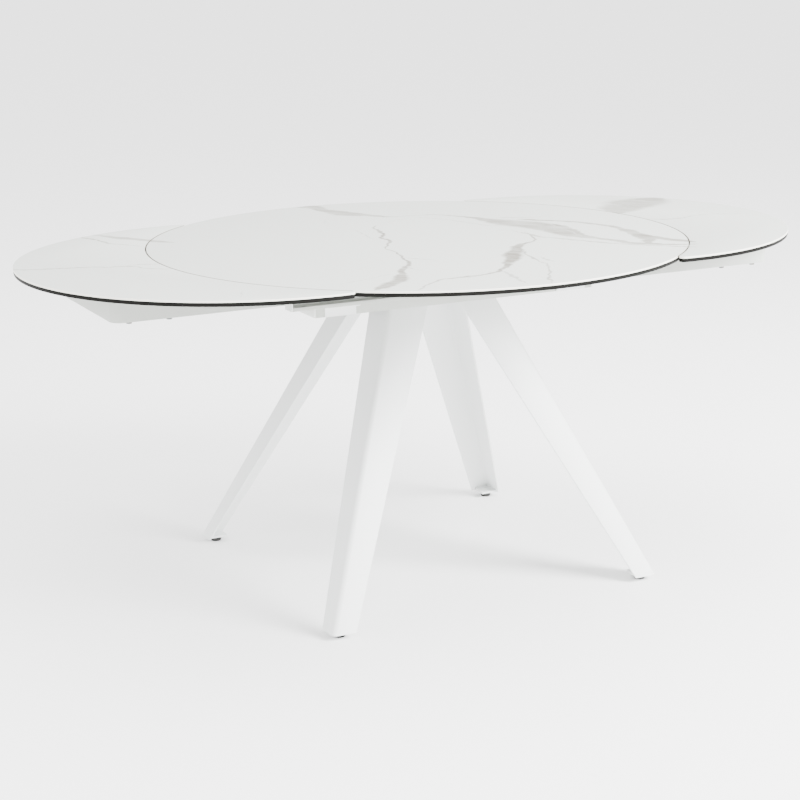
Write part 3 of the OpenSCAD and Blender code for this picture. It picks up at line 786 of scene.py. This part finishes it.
class TABLE_OT_under_frame(bpy.types.Operator):
    """Finish the mounting plate, beams, bearers, rails and rests"""

    bl_idname = "table.under_frame"
    bl_label = "Under frame"

    def execute(self, context):
        shape = context.scene.table_shape
        make_finishes(context.scene.table_finish)
        # The frame parts take the greyer coat, painted shade under the top; the bearers keep the white
        for node in (
            "mounting_plate", "beam_front", "beam_rear", "rail_front", "rail_rear", "rest_posts",
            "top_spider",
        ):
            soften(node, shape.arris, "frame coat painted shade")
        for node in ("bearer_left", "bearer_right"):
            soften(node, shape.arris, "coat")
        for node in ("beam_caps", "rail_caps"):
            soften(node, shape.arris, "caps", segments=3)
        soften("rest_pads", shape.arris / 2, "rubber")
        rail_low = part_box("rail_rear")[0]
        beam_low, beam_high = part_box("beam_rear")
        bearer_low, bearer_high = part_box("bearer_right")
        # Welds at both sides of a bearer: two short beads on each beam, and one under each rail
        half_run = 10 * MM
        from_edge = half_run + 2 * MM
        from_end = 1 * MM
        bm = bmesh.new()
        for sx, sy in CORNERS:
            for x in (sx * bearer_low.x, sx * bearer_high.x):
                z = beam_high.z
                for y in (beam_low.y + from_edge, beam_high.y - from_edge):
                    bead(bm, (x, sy * (y - half_run), z), (x, sy * (y + half_run), z), shape.bead, 7)
                z = rail_low.z
                near, far = sy * (rail_low.y + from_end), sy * (bearer_high.y - from_end)
                bead(bm, (x, near, z), (x, far, z), shape.bead, 5)
        # The welds take the greyer coat, painted shade under the top
        piece("bearer_welds", bm, ["frame coat painted shade"], "base")
        return {"FINISHED"}


def cut_corner_plan(x0, y0, x1, y1, cut):
    """Plan of a rectangle with its corners cut off, from the low corner, anticlockwise."""
    return [
        (x0, y0 + cut), (x0 + cut, y0), (x1 - cut, y0), (x1, y0 + cut),
        (x1, y1 - cut), (x1 - cut, y1), (x0 + cut, y1), (x0, y1 - cut),
    ]


class TABLE_OT_trays(bpy.types.Operator):
    """Make each tray's folded frame and finish what is on it"""

    bl_idname = "table.trays"
    bl_label = "Trays"

    def execute(self, context):
        shape = context.scene.table_shape
        make_finishes(context.scene.table_finish)
        inner_low, inner_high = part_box("inner_bar_left")
        outer_low, outer_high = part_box("outer_bar_left")
        end_low, end_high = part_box("end_plate_left")
        z0, z1, r = end_low.z, end_high.z, shape.tray_bend
        bar = [v.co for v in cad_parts["inner_bar_left"].data.vertices]
        # A bar is deep as far as its knee, and slim from there inwards
        knee = max(v.x for v in bar if v.z < z0 + MM)
        slim_z = min(v.z for v in bar if v.x > knee + 5 * MM)
        # The deep part is one U in plan, with a small cut in each inner corner and two round outer ones
        cut = 3 * MM
        u_plan = [
            (knee, inner_low.y), (knee, inner_high.y), (end_high.x + cut, inner_high.y),
            (end_high.x, inner_high.y + cut), (end_high.x, outer_low.y - cut),
            (end_high.x + cut, outer_low.y), (knee, outer_low.y), (knee, outer_high.y),
        ]
        u_plan += corner_arc(end_low.x + r, outer_high.y - r, r, 90, 180, 9)
        u_plan += corner_arc(end_low.x + r, inner_low.y + r, r, 180, 270, 9)
        for side, turn in SIDES:
            bm = bmesh.new()
            skin(bm, [ring(bm, [(turn * x, turn * y, z) for x, y in u_plan]) for z in (z0, z1)])
            for low, high in ((inner_low, inner_high), (outer_low, outer_high)):
                # The slim part goes 2 mm into the deep one, with its top a hair lower
                plan = cut_corner_plan(knee - 2 * MM, low.y, high.x, high.y, 0.1 * MM)
                levels = (slim_z, z1 - 0.01 * MM)
                skin(bm, [ring(bm, [(turn * x, turn * y, z) for x, y in plan]) for z in levels])
            # The tray frame and cross member take the greyer coat, painted shade under the top
            made = piece(f"tray_frame_{side}", bm, ["frame coat painted shade"], "tray_" + side)
            break_arrises(made, 1.6 * MM, 3)
            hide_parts(f"inner_bar_{side}", f"outer_bar_{side}", f"end_plate_{side}")
            soften(f"cross_member_{side}", shape.arris, "frame coat painted shade")
            soften(f"pin_bracket_{side}", shape.arris / 2, "zinc")
            soften(f"runners_{side}", shape.arris, "nylon", segments=3)
            soften(f"leaf_pads_{side}", shape.arris / 2, "rubber")
        return {"FINISHED"}


def bolt_places(node, reach):
    """Middles of a node's separate bolts, from their lowest vertices. Those within reach of a bolt's
    first one belong to it."""
    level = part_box(node)[0].z + 0.5 * MM
    bolts = []
    for spot in [v.co.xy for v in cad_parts[node].data.vertices if v.co.z < level]:
        for bolt in bolts:
            if (bolt[0] - spot).length < reach:
                bolt.append(spot)
                break
        else:
            bolts.append([spot])
    return [tuple((min(v[axis] for v in bolt) + max(v[axis] for v in bolt)) / 2 for axis in (0, 1))
            for bolt in bolts]


# Flange, hexagon with its turned end, and shank of a leaf bolt, each as radius and height in mm
BOLT_FLANGE = ((7.2, 5.0), (7.5, 4.6), (7.3, 4.1), (6.2, 3.6), (5.0, 3.5))
BOLT_HEXAGON = ((6.2, 3.7), (6.2, 0.5), (5.6, 0.0))
BOLT_SHANK_R = 3.0
BOLT_HEAD_H = 5.0


class TABLE_OT_fixings(bpy.types.Operator):
    """Make the leaf bolts and finish the leg bolts"""

    bl_idname = "table.fixings"
    bl_label = "Fixings"

    def execute(self, context):
        shape = context.scene.table_shape
        make_finishes(context.scene.table_finish)
        soften("leg_bolts", shape.arris / 2, "zinc")
        for side, turn in SIDES:
            node = f"leaf_bolts_{side}"
            low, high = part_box(node)
            shank = ((BOLT_SHANK_R, BOLT_HEAD_H), (BOLT_SHANK_R, (high.z - low.z) / MM))
            bm = bmesh.new()
            for x, y in bolt_places(node, 16 * MM):
                for profile, sides in ((BOLT_FLANGE, 36), (BOLT_HEXAGON, 6), (shank, 24)):
                    lathe(bm, [(r * MM, h * MM) for r, h in profile], (x, y, low.z), sides)
            made = piece(f"flanged_bolts_{side}", bm, ["zinc"], "tray_" + side)
            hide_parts(node)
            soften(f"rod_pin_{side}", 0.4 * MM, "zinc")
        return {"FINISHED"}


class TABLE_OT_crank_and_lift(bpy.types.Operator):
    """Finish the crank, rods, lift screw and guides"""

    bl_idname = "table.crank_and_lift"
    bl_label = "Crank and lift"

    def execute(self, context):
        make_finishes(context.scene.table_finish)
        for node in ("crank", "rod_left", "rod_right", "knee_pins", "spindle", "guide_sleeves", "guide_pins"):
            soften(node, 0.6 * MM, "zinc")
        soften("lift_screw", 0, "zinc")
        soften("lift_nut", 0, "bronze")
        soften("thrust_washer", 0.3 * MM, "bronze")
        return {"FINISHED"}


# ---------------------------------------------------------------- stage


# The camera's place in metres, and its turns about X, Y and Z in degrees
CAMERA_PLACE = (-1.86543, -3.66434, 1.43383)
CAMERA_TURN = (75.6404, 0.7419, -26.5748)
# The floor runs this far from the middle, in metres
FLOOR_REACH = 90
# Where the lights point, in metres
LIT_PLACE = (0, 0, 0.5)


class TABLE_OT_stage(bpy.types.Operator):
    """Make the floor, the lights and the camera"""

    bl_idname = "table.stage"
    bl_label = "Stage"

    def execute(self, context):
        stage = context.scene.table_stage
        # Matt painted studio floor, so wide that its edge lies near the horizon
        material, tree, shader = start("matt_studio_floor", tuple(stage.floor), 0.9)
        grain(tree, shader, 20 * MM, 0.0001)
        bm = bmesh.new()
        bmesh.ops.create_grid(bm, x_segments=2, y_segments=2, size=FLOOR_REACH)
        mesh = bpy.data.meshes.new("studio_floor")
        bm.to_mesh(mesh)
        bm.free()
        mesh.materials.append(material)
        floor = bpy.data.objects.new("studio_floor", mesh)
        context.scene.collection.objects.link(floor)

        # White tent, brighter overhead than all round
        world = bpy.data.worlds.new("studio_tent")
        world.use_nodes = True
        tent = world.node_tree
        sky = tent.nodes["Background"]
        sky.inputs[0].default_value = (1, 1, 1, 1)
        way = add(tent, "SeparateXYZ", {0: add(tent, "TexCoord").outputs["Generated"]})
        glow = add(
            tent, "MapRange", {"Value": way.outputs["Z"], "To Min": stage.horizon, "To Max": stage.zenith}
        )
        tent.links.new(glow.outputs[0], sky.inputs[1])
        context.scene.world = world

        for name, at, size, power in (
            ("key_softbox", (2.8, -3.6, 3.0), 2.5, stage.key_power),
            ("fill_softbox", (-5.0, -0.6, 1.9), 3.0, stage.fill_power),
            ("top_softbox", (0.0, 0.6, 4.2), 3.5, stage.fill_power),
        ):
            lamp = bpy.data.lights.new(name, "AREA")
            lamp.shape, lamp.size, lamp.energy = "SQUARE", size, power
            made = bpy.data.objects.new(name, lamp)
            made.location = at
            aim = Vector(LIT_PLACE) - Vector(at)
            made.rotation_euler = aim.to_track_quat("-Z", "Y").to_euler()
            context.scene.collection.objects.link(made)

        lens = bpy.data.cameras.new("view_camera")
        lens.lens = stage.focal
        lens.sensor_width = 36
        lens.clip_end = 4 * FLOOR_REACH
        camera = bpy.data.objects.new("view_camera", lens)
        camera.location = CAMERA_PLACE
        camera.rotation_euler = [math.radians(angle) for angle in CAMERA_TURN]
        context.scene.collection.objects.link(camera)
        context.scene.camera = camera
        return {"FINISHED"}


# ---------------------------------------------------------------- panel and registration

OPERATORS = (
    TABLE_OT_stage, TABLE_OT_slabs, TABLE_OT_legs, TABLE_OT_feet, TABLE_OT_under_frame, TABLE_OT_trays,
    TABLE_OT_fixings, TABLE_OT_crank_and_lift,
)


class TABLE_PT_parts(bpy.types.Panel):
    """Lists the table's settings and pieces"""

    bl_idname = "TABLE_PT_parts"
    bl_label = "Extendable table"
    bl_space_type = "VIEW_3D"
    bl_region_type = "UI"
    bl_category = "Table"

    def draw(self, context):
        column = self.layout.column()
        for group in (context.scene.table_shape, context.scene.table_finish, context.scene.table_stage):
            for key in group.__annotations__:
                column.prop(group, key)
        for operator in OPERATORS:
            column.operator(operator.bl_idname)


CLASSES = (TableShape, TableFinish, TableStage) + OPERATORS + (TABLE_PT_parts,)


def register():
    for made in CLASSES:
        bpy.utils.register_class(made)
    bpy.types.Scene.table_shape = bpy.props.PointerProperty(type=TableShape)
    bpy.types.Scene.table_finish = bpy.props.PointerProperty(type=TableFinish)
    bpy.types.Scene.table_stage = bpy.props.PointerProperty(type=TableStage)


def unregister():
    del bpy.types.Scene.table_stage
    del bpy.types.Scene.table_finish
    del bpy.types.Scene.table_shape
    for made in reversed(CLASSES):
        bpy.utils.unregister_class(made)


def main():
    """Builds every piece in order."""
    register()
    bpy.ops.table.stage()
    bpy.ops.table.slabs()
    bpy.ops.table.legs()
    bpy.ops.table.feet()
    bpy.ops.table.under_frame()
    bpy.ops.table.trays()
    bpy.ops.table.fixings()
    bpy.ops.table.crank_and_lift()


if __name__ == "__main__":
    main()
